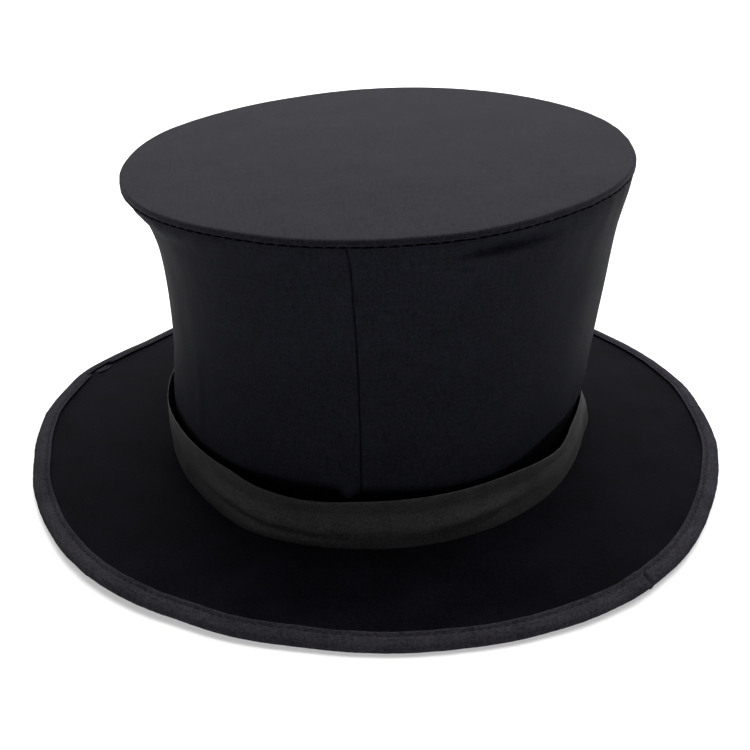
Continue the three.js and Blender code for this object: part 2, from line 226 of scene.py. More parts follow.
def add_grid(name, rows, turns, place, cloth, material, closed=False):
    """A ring of quads. place(row, turn) is a point, and cloth(row, turn) is where it lies on the
    flat cloth. The faces look along the turning direction crossed with the rows' direction. With
    closed, the last row joins the first."""
    count = len(turns)
    vertices = [place(row, turn) for row in rows for turn in turns]
    faces = []
    flat = []
    for i in range(len(rows) if closed else len(rows) - 1):
        m = (i + 1) % len(rows)
        near, far = rows[i], rows[m]
        for j, turn in enumerate(turns):
            k = (j + 1) % count
            next_turn = turns[k] if k else TAU + turns[0]
            faces.append((i * count + j, i * count + k, m * count + k, m * count + j))
            flat += [cloth(near, turn), cloth(near, next_turn), cloth(far, next_turn), cloth(far, turn)]
    return add_object(name, vertices, faces, material, flat)


def thicken(piece, thickness, offset=-1):
    """Gives a sheet its thickness: behind its faces at -1, on both sides at 0, before them at 1."""
    modifier = piece.modifiers.new("thickness", "SOLIDIFY")
    modifier.thickness = thickness
    modifier.offset = offset
    apply_modifiers(piece)


def apply_modifiers(piece):
    bpy.context.view_layer.update()
    shown = piece.evaluated_get(bpy.context.evaluated_depsgraph_get())
    piece.data = bpy.data.meshes.new_from_object(shown)
    piece.modifiers.clear()
    piece.data.name = piece.name


def place_piece(piece, body, slot, *nodes):
    """Puts a piece on its body, and in the place of the nodes that it stands for, which it hides. The slot
    is not used.
    """
    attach(piece, body)
    if nodes:
        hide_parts(*nodes)


def add_stitches(name, path, count, length, thread, material, sink=0.5):
    """Short threads in a row. path(share) gives a point and the cloth's outward direction there."""
    rings = [(-1, 0.35), (-0.8, 0.85), (0, 1), (0.8, 0.85), (1, 0.35)]
    sides = 6
    vertices = []
    faces = []
    for i in range(count):
        share = (i + 0.5) / count
        centre, out = path(share)
        ahead = path(share + 0.25 / count)[0] - path(share - 0.25 / count)[0]
        along = ahead.normalized()
        out = (out - along * out.dot(along)).normalized()
        side = along.cross(out)
        first = len(vertices)
        for reach, swell in rings:
            middle = centre + along * (reach * length / 2) - out * (thread * sink * reach ** 2)
            for k in range(sides):
                angle = TAU * k / sides
                offset = out * math.cos(angle) + side * math.sin(angle)
                vertices.append(middle + offset * (thread * swell))
        for ring in range(len(rings) - 1):
            for k in range(sides):
                a = first + ring * sides + k
                b = first + ring * sides + (k + 1) % sides
                faces.append((a, a + sides, b + sides, b))
        faces.append(tuple(first + k for k in range(sides)))
        last = first + (len(rings) - 1) * sides
        faces.append(tuple(last + k for k in reversed(range(sides))))
    return add_object(name, vertices, faces, material)


# ------------------------------------------------------------------ material helpers
def add_node(tree, kind, inputs=None, **settings):
    made = tree.nodes.new(kind)
    for key, value in settings.items():
        setattr(made, key, value)
    for key, value in (inputs or {}).items():
        if isinstance(value, bpy.types.NodeSocket):
            tree.links.new(value, made.inputs[key])
        else:
            made.inputs[key].default_value = value
    return made


def calc(tree, operation, *values):
    return add_node(tree, "ShaderNodeMath", dict(enumerate(values)), operation=operation).outputs[0]


def new_material(name):
    material = bpy.data.materials.new(name)
    material.use_nodes = True
    tree = material.node_tree
    shader = tree.nodes["Principled BSDF"]
    return material, tree, shader


def drawn_out(tree, place, factors):
    return add_node(tree, "ShaderNodeVectorMath", {0: place, 1: factors}, operation="MULTIPLY").outputs[0]


def noise_at(tree, place, scale, detail):
    inputs = {"Vector": place, "Scale": scale, "Detail": detail}
    return add_node(tree, "ShaderNodeTexNoise", inputs).outputs["Fac"]


def cloth_place(tree, pitch_u, pitch_v):
    """The cloth's own coordinates, counted in threads."""
    flat = add_node(tree, "ShaderNodeUVMap", uv_map="cloth").outputs[0]
    return drawn_out(tree, flat, (1 / pitch_u, 1 / pitch_v, 1))


def half_wave(tree, value):
    turned = calc(tree, "MULTIPLY", value, math.pi)
    return calc(tree, "ABSOLUTE", calc(tree, "SINE", turned))


def plain_weave(tree, place):
    """The height of threads that pass over and under each other, from 0 to 1."""
    parts = add_node(tree, "ShaderNodeSeparateXYZ", {0: place})
    x, y = parts.outputs[0], parts.outputs[1]
    both = calc(tree, "ADD", calc(tree, "FLOOR", x), calc(tree, "FLOOR", y))
    over = calc(tree, "ABSOLUTE", calc(tree, "MODULO", both, 2.0))
    warp, weft = half_wave(tree, x), half_wave(tree, y)
    return calc(tree, "MULTIPLY_ADD", over, calc(tree, "SUBTRACT", weft, warp), warp)


def satin_floats(tree, place, stretch):
    """Long fine threads that lie along the cloth's first direction."""
    return noise_at(tree, drawn_out(tree, place, (1 / stretch, 1, 1)), 1.0, 2.0)


def shade_between(tree, factor, dark, light, low=0.3, high=0.7):
    ramp = add_node(tree, "ShaderNodeValToRGB", {0: factor})
    ramp.color_ramp.elements[0].position = low
    ramp.color_ramp.elements[0].color = (*dark, 1)
    ramp.color_ramp.elements[1].position = high
    ramp.color_ramp.elements[1].color = (*light, 1)
    return ramp.outputs[0]


def scaled(color, factor):
    return tuple(channel * factor for channel in color)


def object_place(tree):
    return add_node(tree, "ShaderNodeTexCoord").outputs["Object"]


def space_noise(tree, size, detail=3.0):
    """Noise in space whose blotches are about this many metres across."""
    return noise_at(tree, object_place(tree), 1 / size, detail)


def mixed(tree, first, share, second, other_share):
    return calc(tree, "MULTIPLY_ADD", first, share, calc(tree, "MULTIPLY", second, other_share))


def set_color(tree, shader, color):
    tree.links.new(color, shader.inputs["Base Color"])


def vary_roughness(tree, shader, factor, middle, spread_out):
    """Roughness about a middle value, when the factor runs from 0 to 1."""
    rough = calc(tree, "MULTIPLY_ADD", factor, spread_out, middle - spread_out / 2)
    tree.links.new(rough, shader.inputs["Roughness"])


def set_shine(shader, specular, sheen=0.0):
    shader.inputs["Specular IOR Level"].default_value = specular
    shader.inputs["Sheen Weight"].default_value = sheen


def add_bump(tree, shader, height, distance):
    inputs = {"Height": height, "Distance": distance, "Strength": 1.0}
    normal = add_node(tree, "ShaderNodeBump", inputs).outputs[0]
    tree.links.new(normal, shader.inputs["Normal"])


def slubs(tree):
    """Threads a little thicker here and there, along the cloth and across it."""
    thick, long = 0.6 * MM, 9 * MM
    pitches = ((thick, long), (long, thick))
    grains = [noise_at(tree, cloth_place(tree, *pitch), 1.0, 1.0) for pitch in pitches]
    return calc(tree, "MULTIPLY", calc(tree, "ADD", *grains), 0.5)


def painted_shade_in_tuck(tree, color):
    """Painted shade: the wall's cloth is painted nearly black where it tucks in behind the ribbon,
    standing in for the shadow in the gap there. The painted shade lifts from 1.2 mm below the tuck's line
    to 4.2 mm above it."""
    parts = add_node(tree, "ShaderNodeSeparateXYZ", {0: cloth_place(tree, 1 * MM, 1 * MM)})
    # the painted shade's factor runs from 0.08 deep in the tuck to 1 above it
    limits = {0: parts.outputs[1], 1: -1.2, 2: 4.2, 3: 0.08, 4: 1.0}
    light = add_node(tree, "ShaderNodeMapRange", limits, interpolation_type="SMOOTHSTEP").outputs[0]
    return add_node(tree, "ShaderNodeVectorMath", {0: color, "Scale": light}, operation="SCALE").outputs[0]


def cloth_material(name, color, roughness, specular, pitch, depth, sheen=0.0, grain=0.6, painted_tuck_shade=False):
    """Plain woven cloth: threads in relief, painted shade in their hollows, and slow changes of tone. The
    grain is how far the tone strays from its middle."""
    material, tree, shader = new_material(name)
    middle = 1.05
    weave = plain_weave(tree, cloth_place(tree, pitch, pitch))
    slow = space_noise(tree, 25 * MM)
    fuzz = space_noise(tree, 0.8 * MM)
    # the weave's height darkens the colour in the threads' hollows: painted shade
    soft = calc(tree, "MULTIPLY_ADD", slubs(tree), 0.35, mixed(tree, slow, 0.1, weave, 0.1))
    tone = calc(tree, "MULTIPLY_ADD", fuzz, 0.45, soft)
    dark, light = scaled(color, middle - grain), scaled(color, middle + grain)
    color_out = shade_between(tree, tone, dark, light, 0.35, 0.67)
    # the wall's cloth gets painted shade where it tucks in behind the ribbon
    set_color(tree, shader, painted_shade_in_tuck(tree, color_out) if painted_tuck_shade else color_out)
    vary_roughness(tree, shader, fuzz, roughness, 0.16)
    set_shine(shader, specular, sheen)
    add_bump(tree, shader, mixed(tree, weave, 0.5, fuzz, 0.5), depth)
    return material


def satin_material(name, color, roughness, specular, depth, sheen=0.0):
    """Satin: fine floats along the cloth, with the odd brighter thread."""
    material, tree, shader = new_material(name)
    float_pitch, float_stretch = 0.22 * MM, 26.0
    floats = satin_floats(tree, cloth_place(tree, float_pitch, float_pitch), float_stretch)
    slow = space_noise(tree, 14 * MM)
    grain = space_noise(tree, 0.9 * MM)
    tone = calc(tree, "MULTIPLY_ADD", grain, 0.45, mixed(tree, slow, 0.2, floats, 0.35))
    set_color(tree, shader, shade_between(tree, tone, scaled(color, 0.4), scaled(color, 1.75), 0.34, 0.68))
    vary_roughness(tree, shader, floats, roughness, 0.22)
    set_shine(shader, specular, sheen)
    add_bump(tree, shader, floats, depth)
    return material


def velvet_material(name, color):
    """Short pile: dark where it is looked down into, with a faint bloom, brushed in patches."""
    material, tree, shader = new_material(name)
    pile = space_noise(tree, 0.6 * MM)
    brushed = space_noise(tree, 18 * MM, 4.0)
    tone = mixed(tree, brushed, 0.35, pile, 0.65)
    set_color(tree, shader, shade_between(tree, tone, scaled(color, 0.3), scaled(color, 1.9), 0.34, 0.68))
    set_shine(shader, 0.009, 0.145)
    shader.inputs["Roughness"].default_value = 0.7
    shader.inputs["Sheen Roughness"].default_value = 0.3
    add_bump(tree, shader, pile, 0.08 * MM)
    return material


def leather_material(name, color):
    """Leather: small pebbles, and patches that are worn smooth."""
    material, tree, shader = new_material(name)
    cells = {"Vector": object_place(tree), "Scale": 900.0}
    grain = add_node(tree, "ShaderNodeTexVoronoi", cells).outputs["Distance"]
    worn = space_noise(tree, 12 * MM)
    tone = mixed(tree, worn, 0.7, grain, 0.3)
    set_color(tree, shader, shade_between(tree, tone, scaled(color, 0.6), scaled(color, 1.4)))
    vary_roughness(tree, shader, worn, 0.5, 0.3)
    set_shine(shader, 0.35)
    add_bump(tree, shader, grain, 0.08 * MM)
    return material


def steel_material(name, color, roughness, metallic=1.0):
    """Rolled sheet and wire: drawn streaks and dull patches."""
    material, tree, shader = new_material(name)
    streaks = noise_at(tree, drawn_out(tree, object_place(tree), (1, 1, 0.06)), 1800.0, 3.0)
    dull = space_noise(tree, 6 * MM)
    tone = mixed(tree, streaks, 0.5, dull, 0.5)
    set_color(tree, shader, shade_between(tree, tone, scaled(color, 0.7), scaled(color, 1.15)))
    vary_roughness(tree, shader, tone, roughness, 0.25)
    shader.inputs["Metallic"].default_value = metallic
    add_bump(tree, shader, streaks, 0.02 * MM)
    return material


def floor_material():
    """Pale matt paper that glows a little, so that the ground round the hat is white."""
    material, tree, shader = new_material("floor")
    faint = space_noise(tree, 200 * MM)
    set_color(tree, shader, shade_between(tree, faint, (0.61, 0.605, 0.6), (0.65, 0.645, 0.64)))
    set_shine(shader, 0.1)
    shader.inputs["Emission Color"].default_value = (1, 1, 1, 1)
    shader.inputs["Emission Strength"].default_value = 0.4
    shader.inputs["Roughness"].default_value = 0.9
    return material


# After its name and color, each cloth has its roughness, its shine, the pitch of its threads if it
# is woven plainly, and the depth of its relief.
velvet = velvet_material("velvet", (0.0023, 0.0022, 0.0037))
under_cloth = cloth_material("under_cloth", (0.01, 0.01, 0.011), 0.9, 0.1, 0.5 * MM, 0.1 * MM)
binding_satin = satin_material("binding_satin", (0.0225, 0.0216, 0.026), 0.6, 0.0, 0.05 * MM)
# the crown's cloth carries painted shade low down, where it tucks in behind the ribbon
crown_cloth = cloth_material(
    "crown_cloth", (0.0086, 0.0091, 0.0127), 0.6, 0.012, 0.3 * MM, 0.06 * MM, painted_tuck_shade=True)
tip_cloth = cloth_material(
    "tip_cloth", (0.0106, 0.0103, 0.015), 0.6, 0.0305, 0.3 * MM, 0.24 * MM, sheen=0.009, grain=1.0)
ribbon_satin = satin_material("ribbon_satin", (0.0285, 0.0283, 0.03), 0.5, 0.11, 0.05 * MM, 0.02)
lining_satin = satin_material("lining_satin", (0.02, 0.02, 0.024), 0.4, 0.4, 0.04 * MM)
sweat_leather = leather_material("sweatband_leather", (0.09, 0.055, 0.035))
buckram = cloth_material("buckram", (0.12, 0.105, 0.08), 0.9, 0.2, 1.1 * MM, 0.4 * MM)
# the threads are black, and are set far darker than the cloth as painted shade for where the stitches sink
# into it
black_thread_painted_shade = satin_material("black_thread_painted_shade", (0.0008, 0.0008, 0.001), 0.8, 0.0, 0.05 * MM)
spring_steel = steel_material("spring_steel", (0.42, 0.42, 0.43), 0.36)
black_steel = steel_material("black_steel", (0.035, 0.035, 0.04), 0.5, 0.6)
bright_steel = steel_material("bright_steel", (0.62, 0.62, 0.63), 0.26)


# ------------------------------------------------------------------ brim
COVER_RADIUS = cover_high[0]
# the brim's two front corners, which stand off the floor a little
FRONT_LEFT = -131 * DEG
FRONT_RIGHT = -47 * DEG
# where the tape's two ends lap, and the radius that turns an angle there into a distance
LAP_LEFT = 163 * DEG
LAP_RIGHT = -51 * DEG
LAP_RADIUS = BRIM_RADIUS + 6 * MM
# turn in degrees, and how far the brim's outline strays outwards there, in millimetres
BRIM_OUTLINE = (
    (-180, 0.0), (-172, -0.8), (-164, -1.1), (-156, -0.3), (-148, 0.4), (-140, 1.6), (-132, 2.1),
    (-124, 1.5), (-116, -0.1), (-108, -0.6), (-100, -1.7), (-92, -1.4), (-84, -0.9), (-76, 0.0),
    (-68, 1.4), (-60, 2.5), (-53, 3.2), (-48, 2.8), (-42, 2.3), (-34, 1.0), (-26, -0.3), (-18, -0.3),
    (-8, 0.1), (2, 0.0), (8, 0.5), (14, 0.0), (24, -1.6), (34, -3.4), (60, -4.0), (90, -5.0),
    (120, -6.6), (138, -9.6), (148, -9.8), (156, -6.2), (164, -1.8), (172, -0.9), (180, 0.0),
)
# the same for the tip's edge
TIP_OUTLINE = (
    (-180, -0.5), (-163, 0.0), (-150, 0.3), (-140, 0.2), (-131, -0.6), (-122, -1.4), (-115, -1.7),
    (-105, -1.2), (-95, -0.8), (-80, 0.0), (-72, 0.9), (-52, 0.8), (-44, 1.5), (-36, 1.8),
    (-24, 1.5), (-15, 1.0), (-4, 0.1), (13, 0.1), (37, -0.3), (54, 0.6), (69, 1.8), (83, 2.3),
    (97, 1.4), (112, -0.9), (127, -1.5), (143, -1.2), (157, 0.2), (166, -0.1), (180, -0.5),
)


def stray(outline, turn):
    """How far an outline strays from its oval at a turn, in metres."""
    return value_along(outline, math.degrees(turn_from(turn, 0)))[0] * MM


def brim_lift(radius, turn):
    """How far the brim stands off the floor: a little at the two front corners."""
    outwards = smooth(BRIM_INNER + 12 * MM, BRIM_RADIUS, radius)
    left = 1.5 * bell(turn_from(turn, FRONT_LEFT), 0.42)
    right = 1.2 * bell(turn_from(turn, FRONT_RIGHT), 0.36)
    return outwards * (left + right) * MM


def brim_swell(turn):
    """How far the brim's edge strays from its oval, with small waves added."""
    return stray(BRIM_OUTLINE, turn) + 0.25 * MM * ring_noise(turn, 9.0, 5.1)


def on_brim(radius, turn, height):
    """A point of the brim. Its outer part follows the outline's swell."""
    outwards = smooth(BRIM_INNER + 20 * MM, COVER_RADIUS, radius)
    grown = radius + outwards * brim_swell(turn)
    x, y = oval(grown, turn)
    return Vector((x, y, height + brim_lift(radius, turn)))


def add_brim_layer(name, node, slot, material, dents=0.0):
    """A layer of the brim, closed all round: its top, its outer edge, its underside, its inner edge."""
    low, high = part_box(node)
    outer = high[0]
    rows = [(radius, high[2], True) for radius in spread(outer, BRIM_INNER, 30)]
    rows += [(radius, low[2], False) for radius in spread(BRIM_INNER, outer, 8)]

    def place(row, turn):
        radius, height, top = row
        point = on_brim(radius, turn, height)
        if top and dents:
            x, y, _ = point * 30
            point.z += dents * wander(x, y, 3.3) * smooth(BRIM_INNER, BRIM_INNER + 10 * MM, radius)
        return point

    def cloth(row, turn):
        return oval(row[0], turn)

    piece = add_grid(name, rows, even_turns(288), place, cloth, material, True)
    place_piece(piece, "root", slot, node)
    return piece


def add_brim():
    """The brim's board between its two covers."""
    velvet_piece = add_brim_layer("brim_cover_velvet", "brim_top_cover", "velvet", velvet, 0.12 * MM)
    under_piece = add_brim_layer("brim_cover_under", "brim_under_cover", "under_cloth", under_cloth)
    add_brim_layer("brim_stiffener", "brim_board", "buckram", buckram)


def add_brim_wire():
    """The round wire in the brim's edge."""
    low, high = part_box("brim_wire")
    wire = (high[2] - low[2]) / 2
    middle = high[0] - wire
    height = (high[2] + low[2]) / 2

    def place(angle, turn):
        return on_brim(middle + wire * math.cos(angle), turn, height + wire * math.sin(angle))

    piece = add_grid("brim_edge_wire", even_turns(12), even_turns(288), place, swapped, spring_steel, True)
    place_piece(piece, "root", "spring_steel", "brim_wire")


BINDING_WIDTH = 7 * MM
BINDING_INNER = BRIM_RADIUS - BINDING_WIDTH
STITCH_INSET = 1.7 * MM
TAPE = 0.35 * MM


def binding_section():
    """The taped edge's outer face from its inner edge below, round the rim, to its inner edge above.
    Each row is its radius and height, how much it puckers, and which way it faces (out, up)."""
    half = BINDING_TOP / 2
    rows = []
    for radius in spread(BINDING_INNER, BRIM_RADIUS - half, 8):
        rows.append((radius, 0.0, 0.4, 0.0, -1.0))
    for angle in spread(-75 * DEG, 75 * DEG, 9):
        out, up = math.cos(angle), math.sin(angle)
        rows.append((BRIM_RADIUS - half + half * out, half + half * up, 1.0, out, up))
    for radius in spread(BRIM_RADIUS - half, BINDING_INNER, 20):
        rows.append((radius, BINDING_TOP, 0.8, 0.0, 1.0))
    return rows


def binding_pucker(turn):
    """Small gathers of the tape where it is eased round the curve."""
    coarse = 0.5 * ring_noise(turn, 24.0, 2.7) + 0.5 * ring_noise(turn, 9.0, 8.2)
    return coarse + 0.45 * ring_noise(turn, 85.0, 6.3)


def lap_arc(turn, centre):
    """How far along the brim's edge a turn is from a lap, in metres."""
    return turn_from(turn, centre) * LAP_RADIUS


def lap_pleat(turn):
    """A small pleat that stands beside the right lap's free end, with a crack between them, in
    millimetres."""
    arc = lap_arc(turn, LAP_RIGHT)
    if abs(arc) > 6 * MM:
        return 0.0
    pleat = 0.9 * bell(arc - 1.7 * MM, 0.9 * MM)
    crack = 0.6 * bell(arc - 0.3 * MM, 0.35 * MM)
    return pleat - crack


def binding_surface(row, turn, off=0.0):
    """A point on the tape, or off it by a distance. Above, the tape has a raised inner edge, a
    groove where it is sewn, and a swelling between the groove and the rim."""
    radius, height, pucker, out, up = row
    ripple = binding_pucker(turn) * pucker
    from_inner = radius - BINDING_INNER
    lift = 0.0
    if up == 1.0:
        groove = bell(from_inner - STITCH_INSET, 0.6 * MM)
        edge = bell(from_inner - 0.4 * MM, 0.8 * MM)
        swelling = math.sin(math.pi * min(1, max(0, from_inner / BINDING_WIDTH)))
        lift = (0.35 + 0.25 * ripple) * edge - 0.6 * groove + 0.3 * swelling + 0.16 * ripple
    above_stitches = smooth(2.2 * MM, 3.2 * MM, from_inner)
    on_top = above_stitches * smooth(BINDING_WIDTH + 0.3 * MM, BINDING_WIDTH - 1.7 * MM, from_inner)
    off += lap_pleat(turn) * on_top * MM
    wave = 0.3 * ripple * smooth(BINDING_INNER + 3 * MM, BRIM_RADIUS, radius)
    narrowed = 0.6 * bell(turn_from(turn, -90 * DEG), 0.9) - 0.3 * bell(turn_from(turn, math.pi), 0.6)
    edge_wave = (narrowed + 0.3 * ring_noise(turn, 6.0, 4.4)) * smooth(4 * MM, 2 * MM, from_inner)
    arc = lap_arc(turn, LAP_LEFT)
    beside_lap = smooth(-9 * MM, -7.5 * MM, arc) * smooth(8 * MM, 7 * MM, arc)
    notch = 1.9 * beside_lap * bell(from_inner, 2.5 * MM)
    grown = radius + (wave + edge_wave + notch) * MM + out * off
    return on_brim(grown, turn, max(0.0, height + lift * MM + up * off))


def section_distance(rows):
    """How far each row is along the tape's width."""
    along = {rows[0]: 0.0}
    for near, far in zip(rows, rows[1:]):
        along[far] = along[near] + math.hypot(far[0] - near[0], far[1] - near[1])
    return along


def add_binding():
    """The satin tape that is folded round the brim's edge, and the stitches along it."""
    rows = binding_section()
    along = section_distance(rows)
    length = TAU * (BRIM_RADIUS + OVAL_EXTRA / 2)
    turns = turns_with(1080, (LAP_RIGHT, 3 * DEG, 0.1 * DEG), (LAP_LEFT, 5 * DEG, 0.2 * DEG))

    def cloth(row, turn):
        return turn / TAU * length, along[row]

    piece = add_grid("binding_tape", rows, turns, binding_surface, cloth, binding_satin)
    thicken(piece, TAPE)
    place_piece(piece, "root", "binding_satin", "brim_binding")
    sewn = (BINDING_INNER + STITCH_INSET, BINDING_TOP, 0.8, 0.0, 1.0)

    def path(share):
        return binding_surface(sewn, share * TAU) + Vector((0, 0, 0.03 * MM)), Vector((0, 0, 1))

    stitches = add_stitches("binding_stitches", path, 300, 2.3 * MM, 0.12 * MM, black_thread_painted_shade)
    place_piece(stitches, "root", "binding_satin")


def add_strip(name, rows, columns, place, material, size):
    """An open sheet of quads, where place(row, column) is a point and size is its flat size."""
    vertices = [place(row, column) for row in rows for column in columns]
    across, down = len(columns), len(rows)
    faces = []
    flat = []
    for i in range(down - 1):
        for j in range(across - 1):
            first = i * across + j
            faces.append((first, first + 1, first + across + 1, first + across))
            for m, k in ((i, j), (i, j + 1), (i + 1, j + 1), (i + 1, j)):
                flat.append((k / (across - 1) * size[0], m / (down - 1) * size[1]))
    return add_object(name, vertices, faces, material, flat)


def add_right_lap():
    """The tape's end lies over its beginning. It grows out of the tape and ends at a free edge,
    which is cut back towards the rim and stands up a little."""
    length = 10 * MM
    rim_row = 13
    rows = binding_section()[rim_row:]
    along = section_distance(rows)
    width = along[rows[-1]]

    def place(row, arc):
        free = smooth(-7 * MM, 0, arc)
        rim = row[3]
        off = -0.5 + 0.55 * smooth(-length, -0.6 * length, arc)
        cut = 5.5 * MM * max(0, 1 - along[row] / (0.6 * width)) ** 1.5
        wavy = 0.5 * MM * math.sin(along[row] / width * 4)
        turn = LAP_RIGHT + (arc + (wavy - cut) * (arc + length) / length) / LAP_RADIUS
        return binding_surface(row, turn, off * MM) + Vector((0, 0, (0.1 + 0.5 * rim) * free * MM))

    columns = spread(-length, 0, 30)
    piece = add_strip("binding_end_right", rows, columns, place, binding_satin, (length, width))
    thicken(piece, TAPE, 1)
    place_piece(piece, "root", "binding_satin", "binding_lap_right")


def add_left_lap():
    """The other end of the tape shows as a narrow tongue beside the notch of the inner edge. It dips
    into the pile before it comes up."""
    length = 3.4 * MM
    width = 8 * MM

    def place(reach, side):
        turn = LAP_LEFT + (side - 1 * MM) / LAP_RADIUS
        taper = 0.5 * MM * smooth(0.3, 1, abs(side) / width * 2)
        dip = -0.75 * bell(reach - 1.3 * MM, 0.7 * MM)
        curl = 0.2 * smooth(0, length, reach) + 0.12 * math.sin(side / width * 6) + dip
        height = BRIM_TOP + (0.25 + curl) * MM
        return on_brim(BINDING_INNER + 0.5 * MM - reach + taper, turn, height)

    rows = spread(0, length, 8)
    columns = spread(-width / 2, width / 2, 22)
    piece = add_strip("binding_end_left", rows, columns, place, binding_satin, (width, length))
    thicken(piece, 0.25 * MM, 1)
    place_piece(piece, "root", "binding_satin", "binding_lap_left")


# ------------------------------------------------------------------ crown wall
WALL_THICK = 0.5 * MM
WALL_LOW = BRIM_TOP + 0.2 * MM
WALL_HIGH = TIP_Z - 2.3 * MM
# the part that folds ends a little lower, inside the collar, and the collar goes on up to the tip
WALL_TOP = WALL_HIGH - 1.5 * MM
COLLAR_HEIGHT = 10.2 * MM
COLLAR_THICK = 0.3 * MM
WALL_MEAN = CROWN_RADIUS + OVAL_EXTRA / 2 + 4 * MM
# height, mean radius, push of the middle towards +X
WALL_PROFILE = [[value * MM for value in row] for row in (
    (4, 86.8, 0),
    (20, 87.2, 0.3),
    (31, 88.1, 1.6),
    (50, 88.4, 3.3),
    (75, 90.3, 4.5),
    (95, 92.6, 4.5),
    (110, 96.2, 3.4),
    (118, 99.3, 1.4),
    (124.4, 100.2, 0.3),
)]
# height in millimetres, turn of the seam in degrees
SEAM_LINE = (
    (4, -93.1), (31, -93.2), (56, -93.4), (80, -93.8), (102, -94.4), (114, -94.7), (124, -95.4),
)
SEAM_TURN = -94 * DEG
# the wall's distance from the middle at the seam, which turns an angle there into a distance
SEAM_RADIUS = 105 * MM


def seam_turn(z):
    """The seam leans: this is its turn at a height."""
    return value_along(SEAM_LINE, z / MM)[0] * DEG


def crease(turn, z, centre, half_angle, height, rise, width):
    """A curved fold that runs round the wall, in millimetres for one that is 1 mm deep: the height of
    its middle, how far its ends rise, and its width."""
    away = turn_from(turn, centre) / half_angle
    if abs(away) > 1.8:
        return 0.0
    line = height + rise * away ** 2
    return bell(away, 0.85) * (bell(z - line, width) - 0.6 * bell(z - line + 2 * width, 1.4 * width))


def seam_relief(beside, z):
    """The seam's groove, its two rounded shoulders, the cloth that it puckers, and its allowance,
    which pushes the wall out low down. In millimetres."""
    under_tip = WALL_HIGH - z
    groove = -(0.85 + 0.25 * math.sin(z * TAU / (2.4 * MM))) * bell(beside, 0.3 * MM)
    shoulders = 0.22 * bell(beside - 0.9 * MM, 0.7 * MM) + 0.16 * bell(beside + 0.9 * MM, 0.7 * MM)
    gather = bell(beside, 5 * MM) * math.sin(z / (1.7 * MM)) * (0.05 + 0.16 * bell(under_tip, 26 * MM))
    pinch = -0.45 * bell(beside + 4 * MM, 4.5 * MM) * bell(under_tip - 6.3 * MM, 1.1 * MM)
    allowance = 1.4 * bell(beside + 5.8 * MM, 2.6 * MM) * bell(z - 24.5 * MM, 4 * MM)
    return groove + shoulders + gather + pinch + allowance


# turn in degrees, and the height in millimetres down to which the wall hangs before it tucks in
TUCK_LINE = (
    (-180, 22), (-150, 22), (-128, 23.5), (-110, 25.5), (-84, 24.8), (-66, 23.2), (-52, 25), (-40, 30),
    (-20, 30), (0, 26), (90, 25), (180, 22),
)
# millimetres, as the rest of the wall's relief is
TUCK_DEPTH = 0.7


def tuck_height(turn):
    """The tuck dips where the seam's allowance pushes the cloth out."""
    low = value_along(TUCK_LINE, math.degrees(turn_from(turn, 0)))[0]
    beside = turn_from(turn, SEAM_TURN) * SEAM_RADIUS
    return (low - 3.6 * bell(beside + 5 * MM, 3.8 * MM)) * MM


def wall_tuck(turn, z):
    """The wall folds in a little below the height where it hangs free."""
    low = tuck_height(turn)
    return -TUCK_DEPTH * smooth(low + 1.8 * MM, low - 1 * MM, z)


def wall_cloth_place(z, turn):
    """Low down, the cloth's second coordinate is counted from the line where it tucks in, so that the
    painted shade in the tuck follows that line.
    """
    return turn * WALL_MEAN, z - tuck_height(turn) * smooth(80 * MM, 27 * MM, z)


def wall_relief(turn, z):
    """How far the cloth stands off the smooth wall, in metres."""
    under_tip = WALL_HIGH - z
    soft = 0.4 * ring_noise(turn, 2.4, 1.3, z * 9) + 0.2 * ring_noise(turn, 6.5, 7.7, z * 14)
    fine = 0.07 * ring_noise(turn, 22.0, 4.2, z * 60)
    gathers = 0.3 * bell(under_tip - 3 * MM, 8 * MM) * ring_noise(turn, 26.0, 3.1, z * 30)
    pulls = 0.25 * bell(under_tip - 8 * MM, 18 * MM) * ring_noise(turn, 13.0, 6.1, z * 12)
    fold = -3.4 * bell(turn_from(turn, -65 * DEG), 0.17) * bell(under_tip - 5.6 * MM, 2.0 * MM)
    left = 0.5 * crease(turn, z, -124 * DEG, 11 * DEG, 59 * MM, 2.0 * MM, 0.9 * MM)
    right = 0.4 * crease(turn, z, -55 * DEG, 9 * DEG, 58.5 * MM, 2.0 * MM, 0.9 * MM)
    streak = 0.5 * bell(turn_from(turn, -141 * DEG) * WALL_MEAN, 1.5 * MM) * bell(z - 43 * MM, 16 * MM)
    beside = turn_from(turn, seam_turn(z)) * SEAM_RADIUS
    sewn = seam_relief(beside, z) if abs(beside) < 20 * MM else 0.0
    tuck = wall_tuck(turn, z)
    return (soft + fine + gathers + pulls + fold + left + right + streak + sewn + tuck) * MM


def wall_point(z, turn):
    """A point of the wall. The columns beside the seam lean with it, and the top leans with the tip."""
    turn += (seam_turn(z) - SEAM_TURN) * bell(turn_from(turn, SEAM_TURN), 12 * DEG)
    radius, push = value_along(WALL_PROFILE, z)
    radius += push * math.cos(turn)
    fade = smooth(WALL_LOW, WALL_LOW + 12 * MM, z) * smooth(WALL_HIGH + 1 * MM, WALL_HIGH - 2 * MM, z)
    radius += wall_relief(turn, z) * fade
    radius += stray(TIP_OUTLINE, turn) * smooth(TIP_Z - 30 * MM, WALL_HIGH, z)
    x, y = oval(radius, turn)
    share = (z - WALL_LOW) / (TIP_Z - WALL_LOW)
    tuck = 1.6 * MM * math.cos(turn) * smooth(WALL_HIGH - 12 * MM, WALL_HIGH, z)
    return Vector((x, y, z + share * math.tan(TIP_LEAN) * x + tuck))


def wall_turns():
    """Columns that are closer together at the seam."""
    return turns_with(300, (SEAM_TURN, 9 * DEG, 0.4 * DEG), (SEAM_TURN, 1.4 * DEG, 0.07 * DEG))


